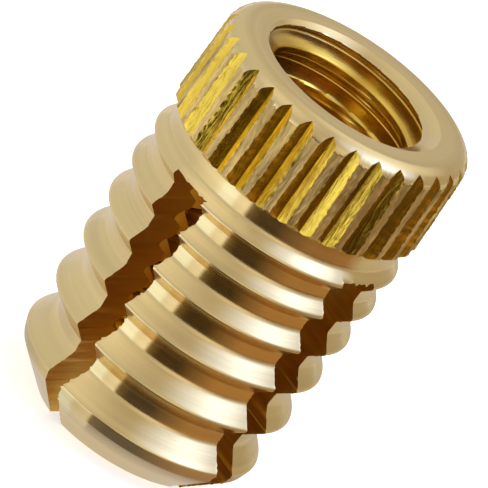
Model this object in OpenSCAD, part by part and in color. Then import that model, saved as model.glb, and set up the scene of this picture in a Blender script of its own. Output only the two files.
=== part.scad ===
// Expansion insert for an M6 screw: one turned brass piece with a straight-knurled collar,
// barbed rings, four cross slots and a tip that is squeezed inward after slotting.
// Sizes in millimetres. The tip stands on z = 0 and the collar is on top.

/* [Collar] */
// Collar diameter over the knurl, at the foot of the collar
collar_d = 8.56; // [8.5:0.02:9.2]
// How much smaller the collar is at the top than at its foot, on the diameter
collar_taper = 0.10; // [0.02:0.02:0.2]
// Length of the knurled collar
collar_l = 3.32; // [2.4:0.02:4.4]
// Height of the round shoulder at the top of the collar
shoulder_h = 0.50; // [0.3:0.02:0.7]
// Width of that shoulder, measured outward
shoulder_w = 0.50; // [0.3:0.02:0.6]
// Small chamfer at the foot of the collar
foot_chamfer = 0.14; // [0.06:0.02:0.2]

/* [Knurl] */
// Number of straight grooves round the collar
knurl_count = 32; // [24:1:36]
// Depth of one groove
knurl_depth = 0.26; // [0.16:0.01:0.3]
// Width of one groove at the surface
knurl_w = 0.64; // [0.4:0.02:0.68]
// Turn of the first groove from the X axis, in degrees
knurl_phase = 4.3; // [0:0.1:11]

/* [Barbed rings] */
// Diameter of the neck under the collar
neck_d = 7.86; // [7.5:0.02:7.9]
// Length of the neck
neck_l = 0.64; // [0.4:0.02:1.2]
// Diameter at the floor of the grooves between the rings
floor_d = 7.95; // [7.6:0.05:8.1]
// Length of each groove floor
floor_w = 0.465; // [0.36:0.005:0.8]
// Diameter over the ring next to the collar
ring_d_first = 8.60; // [8.4:0.02:8.9]
// Diameter over the ring next to the tip, before the tip is squeezed
ring_d_last = 9.28; // [9.0:0.02:9.6]
// Number of rings
ring_count = 6; // [4:1:8]
// Length of the land on each crest
crest_w = 0.045; // [0.03:0.005:0.1]
// Angle of the ring flanks from the axis, in degrees
flank_angle = 45; // [38:1:55]

/* [Tip] */
// Length of the last land, behind the last ring
tail_l = 0.48; // [0.3:0.02:0.9]
// Fall of that land, on the radius
tail_drop = 0.10; // [0.04:0.01:0.16]
// Diameter of the end face, before the tip is squeezed
end_d = 7.0; // [6.6:0.02:7.4]
// Angle of the end chamfer from the axis, in degrees
end_angle = 45; // [38:1:55]

/* [Slots] */
// Width of the four slots
slot_w = 1.48; // [1.2:0.02:1.6]
// Height of the slot roots above the middle of the first crest
root_over = 0.14; // [0:0.01:0.2]
// Angle by which each of the four arms is squeezed inward, in degrees
squeeze = 4.4; // [2:0.1:5]

/* [Bore] */
// Tapping diameter of the bore, for an M6 x 1 thread
bore_d = 5.0; // [4.4:0.05:5.4]
// Diameter of the countersunk mouth
mouth_d = 6.09; // [5.8:0.01:6.5]
// Included angle of the mouth, in degrees
mouth_angle = 120; // [90:1:120]

/* [Hidden] */
$fn = 96;
brass = [0.78, 0.68, 0.45];
// Number of short cones that make the round shoulder.
shoulder_steps = 6;
// Each cut runs this far past the surface that it opens.
past = 0.3;
// The arms meet the head a hair inside its section, so that no two faces coincide.
lap = 0.015;
// Each arm has a root buried in the head: its height, and how far it stays inside the wall.
bury = 0.22;
bury_inset = 0.3;

collar_r = collar_d / 2;
collar_top_r = collar_r - collar_taper / 2;
floor_r = floor_d / 2;
neck_r = neck_d / 2;
end_r = end_d / 2;
bore_r = bore_d / 2;
mouth_r = mouth_d / 2;
mouth_flare = tan(mouth_angle / 2);
mouth_h = (mouth_r - bore_r) / mouth_flare;
flank_run = 1 / tan(flank_angle);
last = ring_count - 1;

// Depths below the top face, before the tip is squeezed. Ring 0 is next to the collar.
function crest_r(i) = ring_d_first / 2 + (ring_d_last - ring_d_first) / 2 * i / last;
function start(i) = i == 0 ? collar_l + neck_l : foot(i - 1) + floor_w;
function crest(i) = start(i) + (crest_r(i) - (i == 0 ? neck_r : floor_r)) * flank_run;
function foot(i) = crest(i) + crest_w + (crest_r(i) - floor_r) * flank_run;

tail_r = crest_r(last) - tail_drop;
tail_end = crest(last) + crest_w + tail_l;
full_l = tail_end + (tail_r - end_r) / tan(end_angle);
root = crest(0) + crest_w / 2 - root_over;
bend = foot(0) + floor_w / 2;
// Length once the arms lean inward: the outer edge of the end face is then the lowest.
stand = bend + (full_l - bend) * cos(squeeze) - (floor_r - end_r) * sin(squeeze);

insert();

module insert() {
    color(brass)
    translate([0, 0, stand])
    union() {
        head();
        for (k = [0:3]) rotate([0, 0, 90 * k]) leaning_arm();
    }
}

// Collar, neck and first ring, down to the middle of the first groove floor.
module head() {
    difference() {
        rotate_extrude()
        polygon(concat(
            [[0, 0]],
            [for (i = [0:shoulder_steps]) shoulder_point(90 * i / shoulder_steps)],
            [
                [collar_r, -collar_l + foot_chamfer],
                [collar_r - foot_chamfer, -collar_l],
                [neck_r, -collar_l],
                [neck_r, -start(0)],
                [crest_r(0), -crest(0)],
                [crest_r(0), -crest(0) - crest_w],
                [floor_r, -foot(0)],
                [floor_r, -bend],
                [0, -bend]
            ]
        ));
        knurl_cuts();
        head_bore();
        for (k = [0:1]) rotate([0, 0, 90 * k])
            translate([-collar_d, -slot_w / 2, -bend - past])
            cube([2 * collar_d, slot_w, bend + past - root]);
    }
}

// Point of the round shoulder: 0 degrees is at the top face, 90 degrees at the knurl.
function shoulder_point(a) = [
    collar_top_r - shoulder_w * (1 - sin(a)),
    -shoulder_h * (1 - cos(a))
];

// Straight V grooves of the knurl, which run out in the shoulder and at the foot of the collar.
module knurl_cuts() {
    reach = knurl_w / 2 * (knurl_depth + past) / knurl_depth;
    for (i = [0:knurl_count - 1])
        rotate([0, 0, knurl_phase + i * 360 / knurl_count])
        translate([0, 0, -collar_l - past])
        linear_extrude(collar_l + 2 * past)
        polygon([
            [collar_r - knurl_depth, 0],
            [collar_r + past, reach],
            [collar_r + past, -reach]
        ]);
}

// Tapping bore with its countersunk mouth.
module head_bore() {
    rotate_extrude()
    polygon([
        [0, past],
        [mouth_r + past * mouth_flare, past],
        [bore_r, -mouth_h],
        [bore_r, -bend - past],
        [0, -bend - past]
    ]);
}

// One of the four arms, leaning inward about the floor of the first groove.
module leaning_arm() {
    rotate([0, 0, 45])
    translate([floor_r, 0, -bend])
    rotate([0, squeeze, 0])
    translate([-floor_r, 0, bend])
    rotate([0, 0, -45])
    arm();
}

// The quarter of the ringed body between two slots, as turned.
module arm() {
    quarter = slot_w / 2 + lap;
    intersection() {
        rotate_extrude()
        polygon(concat(
            [
                [bore_r + lap, -full_l],
                [bore_r + lap, -bend],
                [bore_r + bury_inset, -bend],
                [bore_r + bury_inset, -bend + bury],
                [floor_r - bury_inset, -bend + bury],
                [floor_r - bury_inset, -bend],
                [floor_r - lap, -bend],
                [floor_r - lap, -start(1)]
            ],
            [for (i = [1:last]) each ring_points(i)],
            [
                [tail_r, -tail_end],
                [end_r, -full_l]
            ]
        ));
        translate([quarter, quarter, -full_l - past])
            cube([collar_d, collar_d, full_l + past]);
    }
}

// Corner points of ring i, from its upper flank to the next groove floor.
function ring_points(i) = concat(
    i == 1 ? [] : [[floor_r, -start(i)]],
    [
        [crest_r(i), -crest(i)],
        [crest_r(i), -crest(i) - crest_w]
    ],
    i == last ? [] : [[floor_r, -foot(i)]]
);
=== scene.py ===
"""Brass expansion insert for an M6 screw, standing on its slotted tip on a pale floor.

The insert is one turned piece: a straight-knurled collar, a neck, six barbed rings, four saw
slots whose arms are squeezed inward, and a tapped bore with a countersunk mouth.
"""
import math

import bpy
import numpy as np
from bpy.props import FloatProperty, FloatVectorProperty, IntProperty, PointerProperty
from mathutils import Matrix, Vector


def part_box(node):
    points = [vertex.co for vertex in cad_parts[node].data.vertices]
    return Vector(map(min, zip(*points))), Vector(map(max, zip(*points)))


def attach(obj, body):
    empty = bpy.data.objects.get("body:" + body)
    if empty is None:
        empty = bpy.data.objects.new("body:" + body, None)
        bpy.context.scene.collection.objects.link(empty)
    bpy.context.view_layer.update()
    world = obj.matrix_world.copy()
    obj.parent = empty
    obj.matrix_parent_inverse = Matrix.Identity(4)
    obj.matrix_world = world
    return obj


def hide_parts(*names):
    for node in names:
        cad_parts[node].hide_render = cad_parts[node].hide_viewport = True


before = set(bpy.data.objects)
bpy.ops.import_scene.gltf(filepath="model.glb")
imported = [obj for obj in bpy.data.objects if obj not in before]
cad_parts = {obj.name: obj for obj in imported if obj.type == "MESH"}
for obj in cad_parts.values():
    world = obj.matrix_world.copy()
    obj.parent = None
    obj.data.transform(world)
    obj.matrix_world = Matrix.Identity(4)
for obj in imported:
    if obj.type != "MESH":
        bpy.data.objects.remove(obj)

bl_info = {
    "name": "Brass expansion insert",
    "version": (1, 0, 0),
    "blender": (4, 5, 0),
    "location": "3D View > Sidebar > Insert",
    "description": "Builds a knurled, ringed and slotted brass insert and a small studio for it",
    "category": "Add Mesh",
}

MM = 0.001
QUARTER = math.pi / 2
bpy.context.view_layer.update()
TOP_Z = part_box("insert")[1][2]


def linear(code):
    """Turn an sRGB hex colour such as #C8B48A into linear red, green and blue."""
    shares = np.array([int(code[i:i + 2], 16) for i in (1, 3, 5)]) / 255
    return tuple(np.where(shares <= 0.04045, shares / 12.92, ((shares + 0.055) / 1.055) ** 2.4))


def length(name, millimetres, text):
    """A length property: its default is given in millimetres and kept in metres."""
    return FloatProperty(name=name, description=text, default=millimetres * MM,
                         unit="LENGTH", subtype="DISTANCE", precision=5)


def angle(name, degrees, text):
    """An angle property: its default is given in degrees and kept in radians."""
    return FloatProperty(name=name, description=text, default=math.radians(degrees),
                         unit="ROTATION", subtype="ANGLE")


def colour(name, code, text):
    """A colour property: its default is given as an sRGB hex value and kept linear."""
    return FloatVectorProperty(name=name, description=text, default=linear(code),
                               size=3, subtype="COLOR", min=0, max=1)


def level(name, default, text):
    """A plain number, such as a brightness where 1 is white."""
    return FloatProperty(name=name, description=text, default=default)


class InsertSizes(bpy.types.PropertyGroup):
    """Sizes of the insert as it is turned, before its tip is squeezed."""
    collar_d: length("Collar diameter", 8.56, "Diameter over the knurl at the collar's foot")
    collar_taper: length("Collar taper", 0.10, "How much smaller the collar is at its top")
    collar_l: length("Collar length", 3.32, "Length of the knurled collar")
    shoulder_h: length("Shoulder height", 0.50, "Height of the round shoulder on the collar")
    shoulder_w: length("Shoulder width", 0.50, "Width of that shoulder, measured outward")
    shoulder_start: angle("Shoulder start", 18, "Angle on the round at which the shoulder starts")
    foot_chamfer: length("Foot chamfer", 0.14, "Chamfer at the foot of the collar")
    knurl_count: IntProperty(name="Knurl grooves", description="Grooves round the collar",
                             default=32, min=24, max=36)
    knurl_depth: length("Knurl depth", 0.26, "Depth of one groove")
    knurl_w: length("Knurl width", 0.64, "Width of one groove at the surface")
    knurl_phase: angle("Knurl turn", 4.3, "Turn of the first groove from the X axis")
    neck_d: length("Neck diameter", 7.86, "Diameter of the neck under the collar")
    neck_l: length("Neck length", 0.64, "Length of the neck")
    floor_d: length("Floor diameter", 7.95, "Diameter at the floors between the rings")
    floor_w: length("Floor length", 0.465, "Length of each groove floor")
    ring_d_first: length("First ring", 8.60, "Diameter over the ring next to the collar")
    ring_d_last: length("Last ring", 9.28, "Diameter over the ring next to the tip")
    ring_count: IntProperty(name="Rings", description="Number of barbed rings",
                            default=6, min=4, max=8)
    crest_w: length("Crest land", 0.045, "Length of the land on each crest")
    tail_l: length("Tail length", 0.323, "Length of the land behind the last ring")
    tail_drop: length("Tail fall", 0.10, "Fall of that land on the radius")
    end_d: length("End diameter", 7.0, "Diameter of the end face")
    end_angle: angle("End angle", 41, "Angle of the end chamfer from the axis")
    slot_w: length("Slot width", 1.48, "Width of the four slots")
    root_over: length("Root height", 0.14, "Height of the slot roots over the first crest")
    squeeze: angle("Squeeze", 4.4, "Angle by which each arm leans inward")
    bend_l: length("Bend length", 0.5, "Length over which an arm bends")
    thread_d: length("Thread diameter", 6.0, "Diameter at the roots of the thread")
    minor_d: length("Minor diameter", 5.0, "Diameter at the crests of the thread")
    pitch: length("Pitch", 1.0, "Pitch of the thread, which is right-handed")
    thread_flat: length("Thread flat", 0.25, "Width of the flat on the thread's crests")
    thread_start: length("Thread start", 0.93, "Depth of the first crest at the thread turn")
    thread_turn: angle("Thread turn", 122.6, "Direction in which that depth is measured")
    mouth_d: length("Mouth diameter", 6.09, "Diameter of the countersunk mouth")
    mouth_angle: angle("Mouth angle", 120, "Included angle of the mouth")
    crest_round: length("Crest rounding", 0.10, "Radius on the crests of the rings")
    floor_round: length("Floor rounding", 0.25, "Radius where a groove floor meets a ring")
    foot_round: length("Foot rounding", 0.10, "Radius under a ring and at the tip")
    burr: length("Burr height", 0.03, "Height of the burrs along the slot edges")
    burr_in: length("Burr width", 0.07, "Width of the burred strip on the slot walls")
    rough: length("Knurl roughness", 0.010, "Unevenness of the lands between the grooves")


class BrassColours(bpy.types.PropertyGroup):
    """Colours of the brass and of the stage."""
    turned: colour("Turned brass", "#E9D198", "Bright turned faces")
    rolled: colour("Rolled brass", "#E5C44E", "Sides of the knurl grooves")
    land: colour("Knurl lands", "#E0C07E", "Dull lands between the knurl grooves")
    sawn: colour("Sawn brass", "#D8AA42", "Sawn slot walls")
    tapped: colour("Tapped brass", "#E8C35A", "Mouth and thread of the bore")
    floor: colour("Floor", "#F4F3F0", "Pale floor")


class StudioSetup(bpy.types.PropertyGroup):
    """Camera and light, with directions counted from the camera's side of the insert."""
    azimuth: angle("Camera azimuth", 32.6, "Camera direction round the insert, from the -Y side")
    elevation: angle("Camera elevation", 22.168, "Camera direction above the floor")
    roll: angle("Camera roll", 35.142, "Turn of the camera about its line of sight")
    distance: length("Camera distance", 500, "From the camera to the point it looks at")
    field: length("Field width", 14.591, "Width of the view at that point")
    aim_right: length("Aim right", 0.0245, "The point looked at, right of the insert's middle")
    aim_up: length("Aim up", 0.413, "The point looked at, above the insert's middle")
    left: colour("Left wall", "#D9D8D6", "Surroundings on the camera's left")
    right: colour("Right wall", "#B9AD98", "Surroundings on the camera's right")
    floor_lift: level("Floor lift", 0.6, "Brightness added to the floor so that it shows white")


class Shell:
    """Collects grids of points and the faces that join them, for one mesh."""

    def __init__(self):
        self.points = []
        self.lathe = []
        self.quads = []
        self.triangles = []
        self.count = 0

    def add(self, x, y, z, lathe):
        """Add a grid of points with their lathe coordinates and return their numbers."""
        first = self.count
        self.points.append(np.stack([x, y, z], axis=-1).reshape(-1, 3))
        self.lathe.append(np.stack(np.broadcast_arrays(*lathe), axis=-1).reshape(-1, 3))
        self.count += x.size
        return first + np.arange(x.size).reshape(x.shape)

    def skin(self, grid, finish, inside=False):
        """Join neighbouring rows and columns of a grid of point numbers by four-sided faces.

        The finish is one number, or one for each face in the order of the rows.
        """
        a, b = grid[..., :-1, :-1], grid[..., 1:, :-1]
        c, d = grid[..., 1:, 1:], grid[..., :-1, 1:]
        faces = np.stack([a, d, c, b] if inside else [a, b, c, d], axis=-1).reshape(-1, 4)
        self.quads.append((faces, finish))

    def close(self, left, left_t, right, right_t, finish):
        """Join two strings of points by triangles, in the order of their own parameter.

        Seen from outside, the left string lies on the left when the parameter grows upward. Each
        point in the merged order makes one triangle with the last points of both strings.
        """
        left_t, right_t = left_t.astype(float), right_t.astype(float)
        left_t[0] = right_t[0] = -np.inf
        left_t[-1] = right_t[-1] = np.inf
        order = np.argsort(np.concatenate([left_t, right_t]), kind="stable")
        from_left = order < len(left)
        i = np.cumsum(from_left) - 1
        j = np.cumsum(~from_left) - 1
        on_left = from_left & (i > 0) & (j >= 0)
        on_right = ~from_left & (j > 0) & (i >= 0)
        one = np.stack([left[i - 1], right[j], left[i]], axis=-1)[on_left]
        two = np.stack([left[i], right[j - 1], right[j]], axis=-1)[on_right]
        self.triangles.append((np.concatenate([one, two]), finish))

    def mesh(self, name, materials, sharp):
        """Make the mesh, smooth but for the edges that turn by more than the sharp angle."""
        points = np.concatenate(self.points)
        groups = self.quads + self.triangles
        corners = np.concatenate([faces.ravel() for faces, _ in groups])
        totals = np.concatenate([np.full(len(faces), faces.shape[1]) for faces, _ in groups])
        finishes = np.concatenate([np.broadcast_to(finish, len(faces)) for faces, finish in groups])
        mesh = bpy.data.meshes.new(name)
        mesh.vertices.add(len(points))
        mesh.vertices.foreach_set("co", points.astype(np.float32).ravel())
        mesh.loops.add(len(corners))
        mesh.loops.foreach_set("vertex_index", corners.astype(np.int32))
        mesh.polygons.add(len(totals))
        starts = np.concatenate([[0], np.cumsum(totals)[:-1]])
        mesh.polygons.foreach_set("loop_start", starts.astype(np.int32))
        mesh.polygons.foreach_set("material_index", finishes.astype(np.int32))
        mesh.update(calc_edges=True)
        lathe = mesh.attributes.new("lathe", "FLOAT_VECTOR", "POINT")
        lathe.data.foreach_set("vector", np.concatenate(self.lathe).astype(np.float32).ravel())
        mesh.polygons.foreach_set("use_smooth", np.ones(len(totals), dtype=bool))
        mesh.set_sharp_from_angle(angle=sharp)
        for material in materials:
            mesh.materials.append(material)
        if mesh.validate(verbose=False):
            raise RuntimeError(f"{name} has faces that do not fit together")
        return mesh


def softened(corners, radius, steps=5):
    """Round the inner corners of a profile.

    Each corner becomes a parabola between two points on its sides, a tangent length of
    radius / tan(half the corner's angle) away but within a share of the shorter side, with one
    more point on each side just past it.
    """
    side_share = 0.4
    just_past = 0.2
    before = corners[:-2] - corners[1:-1]
    after = corners[2:] - corners[1:-1]
    before_l = np.linalg.norm(before, axis=1, keepdims=True)
    after_l = np.linalg.norm(after, axis=1, keepdims=True)
    before, after = before / before_l, after / after_l
    half = np.arccos(np.clip((before * after).sum(axis=1, keepdims=True), -1, 1)) / 2
    reach = np.minimum(radius / np.tan(half), side_share * np.minimum(before_l, after_l))
    middle = corners[1:-1, None]
    s = np.linspace(0, 1, steps)[None, :, None]
    start = middle + (before * reach)[:, None]
    end = middle + (after * reach)[:, None]
    arc = start * (1 - s) ** 2 + middle * 2 * s * (1 - s) + end * s ** 2
    start = start + (before * reach)[:, None] * just_past
    end = end + (after * reach)[:, None] * just_past
    inner = np.concatenate([start, arc, end], axis=1).reshape(-1, 2)
    return np.concatenate([corners[:1], inner, corners[-1:]])


def refined(profile, step):
    """Add points to a profile so that none of its stretches is longer than about one step."""
    least_gap = 0.35 * step
    along = np.append(0, np.cumsum(np.hypot(*np.diff(profile, axis=0).T)))
    extra = np.arange(0, along[-1], step)
    clear = np.abs(extra[:, None] - along).min(axis=1) > least_gap
    along_all = np.sort(np.append(along, extra[clear]))
    return np.stack([np.interp(along_all, along, column) for column in profile.T], axis=-1)


def uneven(where, phases, longest):
    """Uneven curves of about unit size along a line: sums of sines with the given phases.

    The longest wave has the given length, and the others are whole fractions of it.
    """
    waves = phases.shape[-1]
    rates = 2 * np.pi * np.arange(1, waves + 1) / longest
    return np.sin(where[..., None] * rates + phases).sum(axis=-1) * math.sqrt(2 / waves)


# Longest stretch of the turned profile, angle of the thread's flanks from square, and the rounding
# of the thread's corners.
PROFILE_STEP = 0.085 * MM
THREAD_FLANK = math.radians(30)
THREAD_BLUR = 0.05 * MM


class Turned:
    """Depths below the top face and radii of the insert, worked out from its sizes."""

    def __init__(self, s):
        self.s = s
        rings = np.arange(s.ring_count)
        self.neck_r = s.neck_d / 2
        self.floor_r = s.floor_d / 2
        self.end_r = s.end_d / 2
        crest_r = s.ring_d_first / 2
        crest_r = crest_r + (s.ring_d_last - s.ring_d_first) / 2 * rings / rings[-1]
        rise = crest_r - np.where(rings == 0, self.neck_r, self.floor_r)
        fall = crest_r - self.floor_r
        step = rise + s.crest_w + fall + s.floor_w
        start = s.collar_l + s.neck_l + np.concatenate([[0], np.cumsum(step)[:-1]])
        crest = start + rise
        foot = crest + s.crest_w + fall
        tail_r = crest_r[-1] - s.tail_drop
        tail_end = crest[-1] + s.crest_w + s.tail_l
        self.full_l = tail_end + (tail_r - self.end_r) / math.tan(s.end_angle)
        self.root = crest[0] + s.crest_w / 2 - s.root_over
        self.bend = foot[0] + s.floor_w / 2
        tip = s.crest_w / 2
        ring = np.stack([
            np.stack([start, np.where(rings == 0, self.neck_r, self.floor_r)], axis=-1),
            np.stack([crest + tip, crest_r + tip], axis=-1),
            np.stack([foot, np.full_like(foot, self.floor_r)], axis=-1),
        ], axis=1).reshape(-1, 2)
        corners = np.concatenate([
            [[s.collar_l, self.neck_r]],
            ring[:-2],
            [[crest[-1], crest_r[-1]], [tail_end, tail_r], [self.full_l, self.end_r]],
        ])
        rounds = np.tile([s.floor_round, s.crest_round, s.foot_round], s.ring_count)
        self.profile = refined(softened(corners, rounds[:, None]), PROFILE_STEP)

    def outer(self, depth):
        """Radius of the ringed outside at a depth."""
        return np.interp(depth, self.profile[:, 0], self.profile[:, 1])

    def bore(self, depth, theta):
        """Radius of the bore: the larger of the mouth's cone and the thread.

        The thread rises by one pitch per turn. From the middle of a crest its wall runs level over
        half the flat, then outward at the flank's angle, and level again at the root.
        """
        s = self.s
        turns = (theta - s.thread_turn) / (2 * np.pi)
        along = (depth - s.thread_start) / s.pitch + turns
        off = np.abs(along - np.round(along)) * s.pitch
        deep = (s.thread_d - s.minor_d) / 2
        out = (off - s.thread_flat / 2) / math.tan(THREAD_FLANK)
        rise = (out + np.hypot(out, THREAD_BLUR)) / 2
        over = (out - deep + np.hypot(out - deep, THREAD_BLUR)) / 2
        return np.maximum(s.minor_d / 2 + rise - over, self.mouth(depth))

    def mouth(self, depth):
        """Radius of the mouth's cone at a depth."""
        return self.s.mouth_d / 2 - depth * math.tan(self.s.mouth_angle / 2)

    def leaned(self, radius, theta, depth, middle):
        """Bend an arm inward: a short circular bend, and straight on below it.

        Along the arm's own direction, a point keeps its distance from a line at the floor's
        radius, and that line turns through the squeeze angle over the bend's length.
        """
        s = self.s
        along = radius * np.cos(theta - middle)
        across = radius * np.sin(theta - middle)
        first = self.bend - s.bend_l / 2
        past = depth - first
        turn = s.squeeze * np.clip(past / s.bend_l, 0, 1)
        bow = s.bend_l / s.squeeze
        rest = np.maximum(past - s.bend_l, 0)
        line_in = bow * (1 - np.cos(turn)) + rest * np.sin(turn)
        line_down = np.where(past < 0, depth, first + bow * np.sin(turn) + rest * np.cos(turn))
        off = along - self.floor_r
        along = self.floor_r - line_in + off * np.cos(turn)
        deep = line_down + off * np.sin(turn)
        x = along * np.cos(middle) - across * np.sin(middle)
        y = along * np.sin(middle) + across * np.cos(middle)
        return x, y, deep


TURNED, ROLLED, LAND, SAWN, TAPPED = range(5)


def lathe_of(radius, theta, depth):
    """Coordinates that the finishes follow, in millimetres: radius, depth and a slow turn."""
    return radius / MM, depth / MM, 0.5 * np.sin(theta) + 0.3 * np.cos(2 * theta + 1)


def quarter_columns(low, high, arm_share, slot_count):
    """Directions of the columns round the insert: each arm's, then those over the next slot."""
    arm = low + (high - low) * arm_share
    share = np.arange(1, slot_count + 1) / (slot_count + 1)
    slot = high + (low + QUARTER - high) * share
    one = np.concatenate([arm, slot])
    return (one[None] + QUARTER * np.arange(4)[:, None]).ravel()


def edge_shares(count, near):
    """Shares from 0 to 1 with two extra columns close to each end."""
    inner = np.linspace(near * 3, 1 - near * 3, count)
    return np.concatenate([[0, near], inner, [1 - near, 1]])


# Rows of the collar on the shoulder, down the grooves and on the foot chamfer.
SHOULDER_ROWS = 12
GROOVE_ROWS = 37
CHAMFER_ROWS = 2
# How far the rim of the flat top lies inside the shoulder, and the least chamfer at the foot.
RIM_IN = 0.03 * MM
LEAST_CHAMFER = 0.002 * MM
# Unevenness that rolling leaves: the number of waves, the longest ones along edges and lands, and
# how far an edge strays, as a share of half a groove's width.
KNURL_WAVES = 6
EDGE_WAVE = 1.4 * MM
LAND_WAVE = 1.2 * MM
EDGE_STRAY = 0.035


def knurled_collar(shell, t):
    """The collar's outside: round shoulder, straight V grooves with lands, and foot chamfer.

    Columns go round groove by groove. On a groove's side a column keeps a fixed share of the way
    from the bottom of the V to the edge, and on a land a share of the way between two edges. Rows
    run from the rim of the flat top down the shoulder to where it meets the column, down the
    column, and down the chamfer. Edges and lands are a little uneven, as rolling leaves them.
    """
    s = t.s
    top_r = (s.collar_d - s.collar_taper) / 2
    foot_r = s.collar_d / 2
    bottom_r = foot_r - s.knurl_depth
    slope = s.knurl_w / 2 / s.knurl_depth
    side = np.array([0, 0.06, 0.4, 0.75, 0.95, 1.0])
    side = np.concatenate([-side[:0:-1], side])
    land = np.array([0.06, 0.28, 0.5, 0.72, 0.94])
    n_side = len(side)
    share = np.append(np.abs(side), np.ones(len(land)))[None, None]
    pitch = 2 * np.pi / s.knurl_count
    base = s.knurl_phase + np.arange(s.knurl_count)[None, :, None] * pitch
    draw = np.random.default_rng(5)
    edge_phase = draw.uniform(0, 2 * np.pi, (2, s.knurl_count, 1, KNURL_WAVES))
    land_phase = draw.uniform(0, 2 * np.pi, (s.knurl_count, share.size, KNURL_WAVES))

    def cone(depth):
        """Radius of the slightly tapered lands at a depth."""
        body = s.collar_l - s.foot_chamfer - s.shoulder_h
        along = np.clip((depth - s.shoulder_h) / body, 0, 1)
        return top_r + (foot_r - top_r) * along

    def columns(depth):
        """Direction and radius of every column, where a V comes out of the lands' cone."""
        cone_r = cone(depth)
        k = 1 + slope ** 2
        edge_x = (slope ** 2 * bottom_r + np.sqrt(
            slope ** 4 * bottom_r ** 2 - k * (slope ** 2 * bottom_r ** 2 - cone_r ** 2))) / k
        edge_y = slope * (edge_x - bottom_r)
        waver = [edge_y * EDGE_STRAY * uneven(depth, phase, EDGE_WAVE) for phase in edge_phase]
        low, high = (np.arctan2(edge_y + shift, edge_x) for shift in waver)
        x = bottom_r + share * (edge_x - bottom_r)
        y = share * (edge_y + np.where(np.append(side, land) < 0, waver[0], waver[1]))
        theta = np.arctan2(y, x) * np.append(np.sign(side), np.ones(len(land)))
        after = pitch - np.roll(low, -1, axis=1)
        theta[..., n_side:] = (high + (after - high) * np.append(side, land))[..., n_side:]
        radius = np.where(np.arange(share.size) < n_side, np.hypot(x, y), cone_r)
        radius = radius + s.rough * uneven(depth, land_phase, LAND_WAVE) * share ** 4
        return theta + base, radius

    full = np.zeros((1, s.knurl_count, share.size))
    top_theta, top_column_r = columns(s.shoulder_h + full)
    start = s.shoulder_start
    wide = s.shoulder_w / (1 - math.sin(start))
    high = s.shoulder_h / math.cos(start)
    swing = np.arcsin(np.clip(1 - (top_r - top_column_r) / wide, math.sin(start), 1))
    turn = start + np.linspace(0, 1, SHOULDER_ROWS + 1)[:-1, None, None] * (swing - start)
    shoulder_depth = high * (math.cos(start) - np.cos(turn))
    shoulder_r = top_r - wide * (1 - np.sin(turn))
    rim = full + top_r - s.shoulder_w - RIM_IN
    meet = high * (math.cos(start) - np.cos(swing))
    _, low_r = columns(s.collar_l + full)
    chamfer_r = np.minimum(low_r, foot_r - s.foot_chamfer)
    stop = s.collar_l - np.maximum(low_r - chamfer_r, LEAST_CHAMFER)
    depth = meet + (stop - meet) * np.linspace(0, 1, GROOVE_ROWS)[:, None, None]
    theta, radius = columns(depth)
    foot = np.linspace(0, 1, CHAMFER_ROWS + 1)[1:, None, None]
    foot_depth = stop + (s.collar_l - stop) * foot
    foot_rows = radius[-1:] + (chamfer_r - radius[-1:]) * foot
    above = len(turn) + 1
    theta = np.concatenate([np.repeat(top_theta, above, 0), theta,
                            np.repeat(theta[-1:], CHAMFER_ROWS, 0)])
    radius = np.concatenate([rim, shoulder_r, radius, foot_rows])
    depth = np.concatenate([full, shoulder_depth, depth, foot_depth])
    grid = shell.add(radius * np.cos(theta), radius * np.sin(theta), TOP_Z - depth,
                     lathe_of(radius, theta, depth))
    closed = np.concatenate([grid, np.roll(grid[:, :, :1], -1, axis=1)], axis=2).swapaxes(0, 1)
    body = closed[:, above:-CHAMFER_ROWS]
    shell.skin(closed[:, :above + 1], TURNED)
    shell.skin(body[:, :, :n_side], ROLLED)
    shell.skin(body[:, :, n_side - 1:], LAND)
    shell.skin(closed[:, -CHAMFER_ROWS - 1:], TURNED)
    ring = grid.reshape(len(grid), -1)
    first = theta[0].ravel()
    return (np.concatenate([ring, ring[:, :1]], axis=1),
            np.append(first, first[0] + 2 * np.pi))


def slot_angle(half, radius):
    """Direction of a slot wall, half a slot's width beside the slot's middle, at a radius."""
    return np.arcsin(half / radius)


# Columns of the mesh on an arm and over a slot, outside and in the bore. Outside, two more columns
# lie close to each edge of an arm, this share of the arm apart.
ARM_OUT, SLOT_OUT = 23, 13
ARM_IN, SLOT_IN = 33, 7
EDGE_SHARE = 0.006
# Rows of the bore: close ones down to the depth that shows, then wider ones to the slot roots, and
# those on the arms. No row of the outside lies nearer to the slot roots than the gap.
SHOWN_DEPTH = 1.7 * MM
SHOWN_ROWS, HEAD_ROWS, ARM_ROWS = 84, 44, 156
ROOT_GAP = 0.02 * MM
# Burrs: the number of waves and the longest one at the slot roots and down the arms, the height at
# the roots and at an arm's two edges by the burr height, and how far a burr leans outward.
ROOT_WAVES, ROOT_WAVE = 24, 4 * MM
BURR_WAVES, BURR_WAVE = 30, 2.5 * MM
ROOT_BURR = 2
EDGE_BURRS = (1.0, 0.5)
BURR_OUT = 0.4
# Where the search for a slot wall's direction in the bore starts, and how many rounds it takes.
WALL_GUESS = 0.28
WALL_ROUNDS = 8
# Edges that turn by more than this stay sharp.
SHARP = math.radians(28)


def bore_walls(t, half, quarter, depth):
    """Directions in which the two slot walls of each quarter meet the bore at a depth.

    The bore's radius changes with direction, so each round takes the radius at the last answer.
    """
    low = quarter + WALL_GUESS + 0 * depth
    high = quarter + QUARTER - WALL_GUESS + 0 * depth
    for _ in range(WALL_ROUNDS):
        low = quarter + slot_angle(half, t.bore(depth, low))
        high = quarter + QUARTER - slot_angle(half, t.bore(depth, high))
    return low, high


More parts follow.
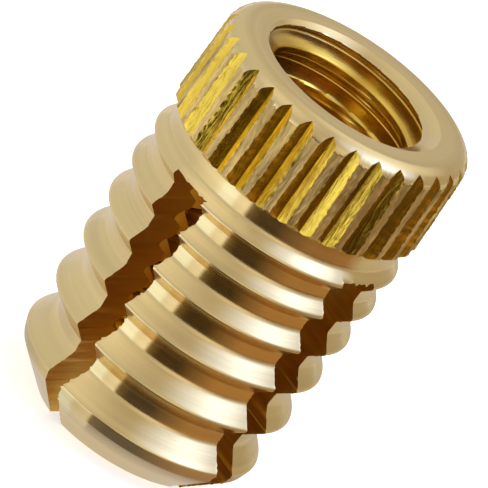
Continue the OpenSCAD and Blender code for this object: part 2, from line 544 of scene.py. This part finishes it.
def build_insert(s, materials):
    """The whole insert as one closed surface, in metres, standing on the floor."""
    t = Turned(s)
    shell = Shell()
    half = s.slot_w / 2
    quarter = QUARTER * np.arange(4)[:, None, None]
    middle = quarter + QUARTER / 2

    collar, collar_turn = knurled_collar(shell, t)

    # Outside, from the neck to the slot roots: level rows of full circles. The saw leaves the
    # edges of the roots ragged.
    draw = np.random.default_rng(11)
    arm_out = edge_shares(ARM_OUT, EDGE_SHARE)
    n_out = len(arm_out)
    edge = slot_angle(half, t.outer(t.root))
    neck_theta = quarter_columns(edge, QUARTER - edge, arm_out, SLOT_OUT)
    rows = t.profile[t.profile[:, 0] < t.root - ROOT_GAP, 0]
    neck_depth = np.append(rows, t.root)[:, None] + 0 * neck_theta
    neck_r = t.outer(neck_depth)
    over_slot = np.tile(np.arange(n_out + SLOT_OUT) >= n_out, 4)
    ragged = uneven(neck_theta * t.neck_r, draw.uniform(0, 2 * np.pi, ROOT_WAVES), ROOT_WAVE)
    neck_depth[-1] += ROOT_BURR * s.burr * np.clip(ragged, 0, 2) * over_slot
    neck = shell.add(neck_r * np.cos(neck_theta), neck_r * np.sin(neck_theta),
                     TOP_Z - neck_depth, lathe_of(neck_r, neck_theta, neck_depth))
    neck_ring = np.concatenate([neck, neck[:, :1]], axis=1)
    shell.skin(neck_ring, TURNED)

    # Bore, from the mouth to the slot roots.
    arm_in = np.linspace(0, 1, ARM_IN)
    low, high = bore_walls(t, half, quarter, t.root)
    arm = low + (high - low) * arm_in
    after = np.roll(low, -1, axis=0) + np.array([0, 0, 0, 2 * np.pi])[:, None, None]
    share = np.arange(1, SLOT_IN + 1) / (SLOT_IN + 1)
    bore_theta = np.concatenate([arm, high + (after - high) * share], axis=2).ravel()
    shown = np.linspace(0, SHOWN_DEPTH, SHOWN_ROWS)
    below = np.linspace(SHOWN_DEPTH, t.root, HEAD_ROWS)[1:]
    bore_depth = np.concatenate([shown, below])[:, None]
    bore_r = t.bore(bore_depth, bore_theta)
    bore = shell.add(bore_r * np.cos(bore_theta), bore_r * np.sin(bore_theta),
                     TOP_Z - bore_depth + 0 * bore_theta, lathe_of(bore_r, bore_theta, bore_depth))
    bore_ring = np.concatenate([bore, bore[:, :1]], axis=1)
    on_mouth = (bore_r <= t.mouth(bore_depth))[:-1]
    shell.skin(bore_ring, np.where(on_mouth, TURNED, TAPPED).ravel(), inside=True)

    # Top face and the underside of the collar.
    bore_turn = np.append(bore_theta, bore_theta[0] + 2 * np.pi)
    neck_turn = np.append(neck_theta, neck_theta[0] + 2 * np.pi)
    shell.close(bore_ring[0], bore_turn, collar[0], collar_turn, TURNED)
    shell.close(collar[-1], collar_turn, neck_ring[0], neck_turn, TURNED)

    # Outsides of the four arms, with a narrow strip of slot wall on either side. The edges
    # between them carry burrs that stand out of the cut.
    out_depth = t.profile[t.profile[:, 0] > t.root + ROOT_GAP, 0][None, :, None]
    shares = np.concatenate([[0], arm_out, [1]])
    inset = np.zeros(len(shares))
    inset[[0, -1]] = s.burr_in
    radius = t.outer(out_depth) - inset + 0 * quarter
    low = quarter + slot_angle(half, radius)
    high = quarter + QUARTER - slot_angle(half, radius)
    theta = low + (high - low) * shares
    ragged = uneven(out_depth, draw.uniform(0, 2 * np.pi, (4, 1, 2, BURR_WAVES)), BURR_WAVE)
    ragged = s.burr * np.clip(ragged, 0, 2) * np.array(EDGE_BURRS)
    theta[:, :, [1, -2]] += ragged * np.array([-1, 1]) / radius[:, :, [1, -2]]
    radius[:, :, [1, -2]] += BURR_OUT * ragged
    x, y, deep = t.leaned(radius, theta, out_depth, middle)
    new = shell.add(x, y, TOP_Z - deep, lathe_of(radius, theta, out_depth + 0 * theta))
    root_r = t.outer(t.root) - s.burr_in
    root_turn = slot_angle(half, root_r)
    root_theta = quarter[..., 0] + np.array([root_turn, QUARTER - root_turn])
    root_wall = shell.add(root_r * np.cos(root_theta), root_r * np.sin(root_theta),
                          TOP_Z - t.root + 0 * root_theta, lathe_of(root_r, root_theta, t.root))
    neck_root = neck[-1].reshape(4, -1)
    first = np.concatenate([root_wall[:, :1], neck_root[:, :n_out], root_wall[:, 1:]], axis=1)
    arms_out = np.concatenate([first[:, None], new], axis=1)
    shell.skin(arms_out[:, :, 1:-1], TURNED)
    shell.skin(arms_out[:, :, :2], SAWN)
    shell.skin(arms_out[:, :, -2:], SAWN)

    # Insides of the arms, with the thread running on through them.
    in_depth = np.linspace(t.root, t.full_l, ARM_ROWS)[None, 1:, None]
    low, high = bore_walls(t, half, quarter, in_depth)
    theta = low + (high - low) * arm_in
    radius = t.bore(in_depth, theta)
    x, y, deep = t.leaned(radius, theta, in_depth, middle)
    new = shell.add(x, y, TOP_Z - deep, lathe_of(radius, theta, in_depth))
    bore_root = bore[-1].reshape(4, -1)
    arms_in = np.concatenate([bore_root[:, None, :ARM_IN], new], axis=1)
    shell.skin(arms_in, TAPPED, inside=True)

    # Slot walls, slot roots and end faces.
    out_t = np.append(t.root, out_depth.ravel())
    in_t = np.append(t.root, in_depth.ravel())
    neck_at = neck_theta.reshape(4, -1)
    bore_at = bore_theta.reshape(4, -1)
    for k in range(4):
        shell.close(arms_out[k, :, 0], out_t, arms_in[k, :, 0], in_t, SAWN)
        shell.close(arms_in[k, :, -1], in_t, arms_out[k, :, -1], out_t, SAWN)
        shell.close(arms_out[k, -1], shares, arms_in[k, -1], arm_in, TURNED)
        nxt = (k + 1) % 4
        lap = 2 * np.pi if nxt == 0 else 0
        outer = np.concatenate([root_wall[k, 1:], neck_root[k, n_out - 1:],
                                neck_root[nxt, :1], root_wall[nxt, :1]])
        outer_t = np.concatenate([neck_at[k, n_out - 1:n_out], neck_at[k, n_out - 1:],
                                  neck_at[nxt, :1] + lap, neck_at[nxt, :1] + lap])
        inner = np.append(bore_root[k, ARM_IN - 1:], bore_root[nxt, 0])
        inner_t = np.append(bore_at[k, ARM_IN - 1:], bore_at[nxt, 0] + lap)
        shell.close(outer, outer_t, inner, inner_t, SAWN)
    return shell.mesh("insert_body", materials, SHARP)


def node(tree, kind, links=None, **settings):
    """Add one node: settings name its attributes or its inputs, links name its linked inputs."""
    made = tree.nodes.new(kind)
    for key, value in settings.items():
        if key in made.bl_rna.properties:
            setattr(made, key, value)
        else:
            made.inputs[key.replace("_", " ")].default_value = value
    for key, source in (links or {}).items():
        tree.links.new(source, made.inputs[key])
    return made


def bare_tree(owner):
    """Switch nodes on for a material or a world, and return its node tree without any nodes."""
    owner.use_nodes = True
    owner.node_tree.nodes.clear()
    return owner.node_tree


# How far the gloss varies with the tool marks. The colour varies in patches this many times as
# large as the marks, from dark to light between these levels of their noise. The bore's colour
# takes over from the mouth's between these depths in millimetres.
GLOSS_SPREAD = 0.05
PATCH_SIZE = 5
PATCH_LEVELS = (0.3, 0.7)
MOUTH_FADE = (0.15, 0.6)


def brass_finish(name, base, roughness, stretch, marks, relief, spread, follow, mouth=None):
    """Brass with tool marks: a noise whose cells have the given sizes in millimetres.

    The marks follow the lathe coordinates or the object's own, stand up by the relief in
    millimetres, and make the gloss a little uneven, and the colour by the share of spread. With
    a colour for the mouth, the finish has that colour near the top face.
    """
    material = bpy.data.materials.new(name)
    tree = bare_tree(material)
    if follow == "lathe":
        where = node(tree, "ShaderNodeAttribute", attribute_name="lathe").outputs["Vector"]
        cells = [1 / size for size in marks]
    else:
        where = node(tree, "ShaderNodeTexCoord").outputs["Object"]
        cells = [1 / (size * MM) for size in marks]
    scaled = node(tree, "ShaderNodeVectorMath", {0: where}, operation="MULTIPLY")
    scaled.inputs[1].default_value = cells
    fine = node(tree, "ShaderNodeTexNoise", {"Vector": scaled.outputs["Vector"]},
                Scale=1.0, Detail=3.0, Roughness=0.6)
    broad = node(tree, "ShaderNodeTexNoise", {"Vector": scaled.outputs["Vector"]},
                 Scale=1 / PATCH_SIZE, Detail=2.0)
    shade = node(tree, "ShaderNodeMapRange", {"Value": broad.outputs["Fac"]},
                 From_Min=PATCH_LEVELS[0], From_Max=PATCH_LEVELS[1])
    tint = node(tree, "ShaderNodeMix", {"Factor": shade.outputs["Result"]}, data_type="RGBA")
    tint.inputs[6].default_value = (*(value * (1 - spread) for value in base), 1)
    tint.inputs[7].default_value = (*(min(value * (1 + spread), 1) for value in base), 1)
    shown = tint.outputs[2]
    if mouth:
        parts = node(tree, "ShaderNodeSeparateXYZ", {"Vector": where})
        deep = node(tree, "ShaderNodeMapRange", {"Value": parts.outputs["Y"]},
                    From_Min=MOUTH_FADE[0], From_Max=MOUTH_FADE[1])
        blend = node(tree, "ShaderNodeMix", {"Factor": deep.outputs["Result"], 7: shown},
                     data_type="RGBA")
        blend.inputs[6].default_value = (*mouth, 1)
        shown = blend.outputs[2]
    gloss = node(tree, "ShaderNodeMapRange", {"Value": fine.outputs["Fac"]},
                 To_Min=roughness - GLOSS_SPREAD, To_Max=roughness + GLOSS_SPREAD)
    bumped = node(tree, "ShaderNodeBump", {"Height": fine.outputs["Fac"]},
                  Strength=1.0, Distance=relief * MM)
    round_z = node(tree, "ShaderNodeTangent", direction_type="RADIAL", axis="Z")
    shader = node(tree, "ShaderNodeBsdfPrincipled",
                  {"Base Color": shown, "Roughness": gloss.outputs["Result"],
                   "Normal": bumped.outputs["Normal"], "Tangent": round_z.outputs["Tangent"]},
                  Metallic=1.0, Anisotropic=stretch, Anisotropic_Rotation=0.25)
    node(tree, "ShaderNodeOutputMaterial", {"Surface": shader.outputs["BSDF"]})
    return material


def brass_finishes(colours):
    """The insert's five finishes, in the order of the finish numbers."""
    return [
        # Free-cutting brass as turned: bright, with fine rings that blur reflections lengthwise.
        brass_finish("turned_brass", colours.turned, roughness=0.18, stretch=0.95,
                     marks=(0.07, 0.07, 0.4), relief=0.003, spread=0.07, follow="lathe"),
        # The same brass where the knurl wheel drew it: glossy, but scratched along the grooves.
        brass_finish("rolled_brass", colours.rolled, roughness=0.22, stretch=0.0,
                     marks=(0.09, 0.09, 0.6), relief=0.02, spread=0.28, follow="object"),
        # Lands between the grooves, torn by the wheel: dull and pitted.
        brass_finish("knurl_land_brass", colours.land, roughness=0.42, stretch=0.0,
                     marks=(0.05, 0.05, 0.25), relief=0.05, spread=0.4, follow="object"),
        # Sawn walls: satin, with level saw lines.
        brass_finish("sawn_brass", colours.sawn, roughness=0.34, stretch=0.0,
                     marks=(0.5, 0.5, 0.06), relief=0.004, spread=0.1, follow="object"),
        # Tapped bore: glossy, with the tap's fine lines round it, and paler at the mouth.
        brass_finish("tapped_brass", colours.tapped, roughness=0.2, stretch=0.4,
                     marks=(0.05, 0.05, 0.3), relief=0.003, spread=0.15, follow="lathe",
                     mouth=colours.turned),
    ]


class INSERT_OT_body(bpy.types.Operator):
    """Build the insert as one closed brass mesh that stands for the CAD node"""
    bl_idname = "expansion_insert.body"
    bl_label = "Insert"

    def execute(self, context):
        sizes = context.scene.insert_sizes
        colours = context.scene.insert_colours
        materials = brass_finishes(colours)
        body = bpy.data.objects.new("insert_body", build_insert(sizes, materials))
        context.scene.collection.objects.link(body)
        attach(body, "root")
        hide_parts("insert")
        return {"FINISHED"}


def studio_axes(setup):
    """Level directions to the camera's side and to its right."""
    a = setup.azimuth
    front = Vector((math.sin(a), -math.cos(a), 0))
    right = Vector((math.cos(a), math.sin(a), 0))
    return front, right


def studio_direction(setup, azimuth, elevation):
    """Direction from the insert: azimuth to the right of the camera, elevation above level."""
    front, right = studio_axes(setup)
    a, e = math.radians(azimuth), math.radians(elevation)
    level_part = front * math.cos(a) + right * math.sin(a)
    return level_part * math.cos(e) + Vector((0, 0, math.sin(e)))


# Painted reflections: what the upright faces mirror, as colours by direction on a glowing ring
# that only reflections show, in degrees to the camera's right, each with its colour and level.
# Painted white paper lies in front on the left, with a strip of painted highlight brighter than
# white, and painted brown card in front on the right, with painted dark reflection at its near
# end. The rest is pale.
PALE, PAPER, PAINTED_HIGHLIGHT, EDGE = "#E0DCDA", "#FAF6F0", "#E8F2FF", "#7A6230"
DARK, TAN, WALL = "#3E2A0B", "#B18655", "#C8BEAC"
REFLECTION_STOPS = (
    (-180, PALE, 1.0), (-80, PALE, 1.0), (-58, PAPER, 1.0), (-48, PAPER, 1.05), (-38, PAINTED_HIGHLIGHT, 1.5),
    (-27, PAINTED_HIGHLIGHT, 1.45), (-24.5, PAPER, 1.0), (-13.4, PAPER, 1.15), (-12.6, EDGE, 1.0),
    (-3, DARK, 1.0), (16, DARK, 1.0), (48, TAN, 1.0), (86, TAN, 1.0), (104, WALL, 1.0),
    (180, WALL, 1.0),
)
# Zones of the ring, by radius in millimetres: share of the colour by direction, and share of the
# painted shadow grey, which stands for the insert's shadow on the floor that lies under the
# insert. The near zones are also darkened as painted shadow. The ring lies at this height over
# the floor.
REFLECTION_ZONES = ((0.4, 0.0, 1.0), (3.3, 0.0, 1.0), (3.7, 0.6, 0.17), (5.2, 0.6, 0.17),
               (8.0, 1.0, 0.0), (28.4, 1.0, 0.0), (29.0, 1.0, 0.0), (400.0, 1.0, 0.0))
PAINTED_SHADOW_GREY = "#DAD7DC"
TABLE_HEIGHT = 0.02
# From this radius on, which the collar mirrors, the brown card is darker, as painted dark
# reflection: directions and levels.
FAR_ZONE = 29.0
FAR_STOPS = (10, 24, 36, 62, 84, 110)
FAR_LEVELS = (1.0, 0.55, 0.3, 0.3, 0.5, 1.0)
# The key softbox: degrees to the camera's right and above level, distance, width and height in
# millimetres, and the brightness that its surface shows.
KEY_AZIMUTH, KEY_ELEVATION = 81, 53
KEY_DISTANCE, KEY_WIDTH, KEY_HEIGHT = 150, 70, 60
KEY_LEVEL = 0.35
# Soft lights in the surroundings: degrees to the camera's right and above level, reach in degrees,
# colour, and level in the middle. They are the key, its far end over the insert, a weak one in
# front and a weak one on the left. Each is even over the core's share of its reach, then fades.
GLOWS = ((KEY_AZIMUTH, KEY_ELEVATION, 33, "#A0BCFF", 3.0), (152, 54, 28, "#E0EAFF", 0.85),
         (32, 22, 32, "#FFF4E4", 0.5), (-62, 60, 32, "#FFF6E6", 0.3))
GLOW_CORE = 0.12
# The walls have their full colours beyond this share of the way to either side.
WALL_FADE = 0.6
# Half the width of the floor, in metres.
FLOOR_REACH = 1.5


def key_softbox(context, setup):
    """The key lamp: a rectangle that faces the insert."""
    data = bpy.data.lights.new("key_softbox", "AREA")
    data.shape = "RECTANGLE"
    data.size = KEY_WIDTH * MM
    data.size_y = KEY_HEIGHT * MM
    data.energy = KEY_LEVEL * math.pi * data.size * data.size_y
    lamp = bpy.data.objects.new("key_softbox", data)
    toward = studio_direction(setup, KEY_AZIMUTH, KEY_ELEVATION)
    lamp.location = Vector((0, 0, TOP_Z / 2)) + toward * KEY_DISTANCE * MM
    lamp.rotation_euler = toward.to_track_quat("Z", "Y").to_euler()
    context.scene.collection.objects.link(lamp)


def plain_mesh(name, points, faces, material):
    """A flat mesh object from a few points."""
    mesh = bpy.data.meshes.new(name)
    mesh.from_pydata(points, [], faces)
    mesh.materials.append(material)
    return bpy.data.objects.new(name, mesh)


def painted_reflection_ring(context, setup):
    """A level ring that glows with painted reflection colours, and which only reflections show.

    Its colour runs from stop to stop round the insert, with painted shadow near the insert, and it
    lies just above the floor.
    """
    # Not a lit card: it glows with its own colours, a painted reflection that gives the brass
    # something plain and coloured to mirror.
    material = bpy.data.materials.new("painted_reflection_card")
    tree = bare_tree(material)
    tint = node(tree, "ShaderNodeAttribute", attribute_name="tint")
    glow = node(tree, "ShaderNodeEmission", {"Color": tint.outputs["Color"]}, Strength=1.0)
    node(tree, "ShaderNodeOutputMaterial", {"Surface": glow.outputs["Emission"]})
    turns = np.linspace(-180, 180, 361)
    stops = [stop for stop, _, _ in REFLECTION_STOPS]
    shades = np.array([linear(code) for _, code, _ in REFLECTION_STOPS])
    shades = shades * np.array([[bright] for _, _, bright in REFLECTION_STOPS])
    tints = np.stack([np.interp(turns, stops, column) for column in shades.T], axis=-1)
    round_it = np.array([studio_direction(setup, turn, 0) for turn in turns])
    # Painted shadow: the grey that stands for the insert's shadow on the floor, mixed in near it.
    shade = np.array(linear(PAINTED_SHADOW_GREY))
    points = np.concatenate([round_it * reach * MM for reach, _, _ in REFLECTION_ZONES])
    points[:, 2] = TABLE_HEIGHT * MM
    far = np.interp(turns, FAR_STOPS, FAR_LEVELS)[:, None]
    tints = np.concatenate([tints * full * (far if reach >= FAR_ZONE else 1) + shade * dim
                            for reach, full, dim in REFLECTION_ZONES])
    count = len(turns)
    numbers = np.arange(len(points)).reshape(len(REFLECTION_ZONES), count)
    faces = np.stack([numbers[:-1, :-1], numbers[:-1, 1:], numbers[1:, 1:], numbers[1:, :-1]],
                     axis=-1).reshape(-1, 4)
    made = plain_mesh("painted_reflection_ring", points.tolist(), faces.tolist(), material)
    tint = made.data.attributes.new("tint", "FLOAT_COLOR", "POINT")
    tint.data.foreach_set("color", np.c_[tints, np.ones(len(tints))].ravel())
    made.visible_camera = False
    made.visible_diffuse = False
    made.visible_shadow = False
    made.visible_transmission = False
    context.scene.collection.objects.link(made)


def pale_floor(context, setup, colours):
    """The floor, which also glows a little where the camera or a reflection sees it."""
    # Matt white paper: no gloss, and soft shadows. The glow lifts it to plain white.
    material = bpy.data.materials.new("pale_floor")
    tree = bare_tree(material)
    matt = node(tree, "ShaderNodeBsdfDiffuse", Color=(*colours.floor, 1))
    path = node(tree, "ShaderNodeLightPath")
    seen = node(tree, "ShaderNodeMath", {0: path.outputs["Is Camera Ray"],
                                         1: path.outputs["Is Glossy Ray"]}, operation="ADD")
    seen = node(tree, "ShaderNodeMath", {0: seen.outputs["Value"],
                                         1: path.outputs["Is Transmission Ray"]}, operation="ADD")
    lift = node(tree, "ShaderNodeMath", {0: seen.outputs["Value"]}, operation="MULTIPLY")
    lift.inputs[1].default_value = setup.floor_lift
    glow = node(tree, "ShaderNodeEmission", {"Strength": lift.outputs["Value"]})
    both = node(tree, "ShaderNodeAddShader", {0: matt.outputs["BSDF"],
                                              1: glow.outputs["Emission"]})
    node(tree, "ShaderNodeOutputMaterial", {"Surface": both.outputs["Shader"]})
    floor = plain_mesh("floor", [(-FLOOR_REACH, -FLOOR_REACH, 0), (FLOOR_REACH, -FLOOR_REACH, 0),
                                 (FLOOR_REACH, FLOOR_REACH, 0), (-FLOOR_REACH, FLOOR_REACH, 0)],
                       [(0, 1, 2, 3)], material)
    context.scene.collection.objects.link(floor)


def studio_world(context, setup):
    """The surroundings: a left and a right wall that blend into each other, and the soft lights.

    A soft light's level falls evenly with the angle between its middle and the line of sight.
    """
    world = bpy.data.worlds.new("studio")
    tree = bare_tree(world)
    where = node(tree, "ShaderNodeTexCoord")
    _, right = studio_axes(setup)
    across = node(tree, "ShaderNodeVectorMath", {0: where.outputs["Generated"]},
                  operation="DOT_PRODUCT")
    across.inputs[1].default_value = right
    share = node(tree, "ShaderNodeMapRange", {"Value": across.outputs["Value"]},
                 From_Min=-WALL_FADE, From_Max=WALL_FADE)
    walls = node(tree, "ShaderNodeMix", {"Factor": share.outputs["Result"]}, data_type="RGBA")
    walls.inputs[6].default_value = (*setup.left, 1)
    walls.inputs[7].default_value = (*setup.right, 1)
    sky = node(tree, "ShaderNodeBackground", {"Color": walls.outputs[2]}, Strength=1.0)
    light = sky.outputs["Background"]
    for azimuth, elevation, reach, code, middle in GLOWS:
        facing = node(tree, "ShaderNodeVectorMath", {0: where.outputs["Generated"]},
                      operation="DOT_PRODUCT")
        facing.inputs[1].default_value = studio_direction(setup, azimuth, elevation)
        away = node(tree, "ShaderNodeMath", {0: facing.outputs["Value"]}, operation="ARCCOSINE")
        fade = node(tree, "ShaderNodeMapRange", {"Value": away.outputs["Value"]},
                    From_Min=math.radians(reach) * GLOW_CORE, From_Max=math.radians(reach),
                    To_Min=middle, To_Max=0.0)
        glow = node(tree, "ShaderNodeBackground", {"Strength": fade.outputs["Result"]},
                    Color=(*linear(code), 1))
        light = node(tree, "ShaderNodeAddShader", {0: light, 1: glow.outputs["Background"]})
        light = light.outputs["Shader"]
    node(tree, "ShaderNodeOutputWorld", {"Surface": light})
    context.scene.world = world


def studio_camera(context, setup):
    """The camera, far away with a narrow field and turned about its line of sight."""
    data = bpy.data.cameras.new("camera")
    data.sensor_fit = "HORIZONTAL"
    data.sensor_width = 36
    data.lens = data.sensor_width * setup.distance / setup.field
    data.clip_start = 0.01
    data.clip_end = 10
    camera = bpy.data.objects.new("camera", data)
    toward = studio_direction(setup, 0, math.degrees(setup.elevation))
    _, right = studio_axes(setup)
    up = toward.cross(right)
    across = right * math.cos(setup.roll) + up * math.sin(setup.roll)
    along = up * math.cos(setup.roll) - right * math.sin(setup.roll)
    aim = Vector((0, 0, TOP_Z / 2)) + right * setup.aim_right + up * setup.aim_up
    turned = Matrix((across, along, toward)).transposed().to_4x4()
    camera.matrix_world = Matrix.Translation(aim + toward * setup.distance) @ turned
    context.scene.collection.objects.link(camera)
    context.scene.camera = camera


class INSERT_OT_stage(bpy.types.Operator):
    """Make the pale floor, the soft light and the camera"""
    bl_idname = "expansion_insert.stage"
    bl_label = "Stage"

    def execute(self, context):
        setup = context.scene.insert_studio
        context.scene.view_settings.view_transform = "Standard"
        pale_floor(context, setup, context.scene.insert_colours)
        studio_world(context, setup)
        key_softbox(context, setup)
        painted_reflection_ring(context, setup)
        studio_camera(context, setup)
        return {"FINISHED"}


class INSERT_PT_panel(bpy.types.Panel):
    """Lists what builds the insert and its studio"""
    bl_idname = "INSERT_PT_panel"
    bl_label = "Expansion insert"
    bl_space_type = "VIEW_3D"
    bl_region_type = "UI"
    bl_category = "Insert"

    def draw(self, context):
        for operator in (INSERT_OT_body, INSERT_OT_stage):
            self.layout.operator(operator.bl_idname)
        for group in (context.scene.insert_sizes, context.scene.insert_colours,
                      context.scene.insert_studio):
            column = self.layout.column()
            for name in group.__annotations__:
                column.prop(group, name)


CLASSES = (InsertSizes, BrassColours, StudioSetup, INSERT_OT_body, INSERT_OT_stage,
           INSERT_PT_panel)


def register():
    for cls in CLASSES:
        bpy.utils.register_class(cls)
    bpy.types.Scene.insert_sizes = PointerProperty(type=InsertSizes)
    bpy.types.Scene.insert_colours = PointerProperty(type=BrassColours)
    bpy.types.Scene.insert_studio = PointerProperty(type=StudioSetup)


def unregister():
    del bpy.types.Scene.insert_studio
    del bpy.types.Scene.insert_colours
    del bpy.types.Scene.insert_sizes
    for cls in reversed(CLASSES):
        bpy.utils.unregister_class(cls)


def main():
    register()
    bpy.ops.expansion_insert.body()
    bpy.ops.expansion_insert.stage()


if __name__ == "__main__":
    main()
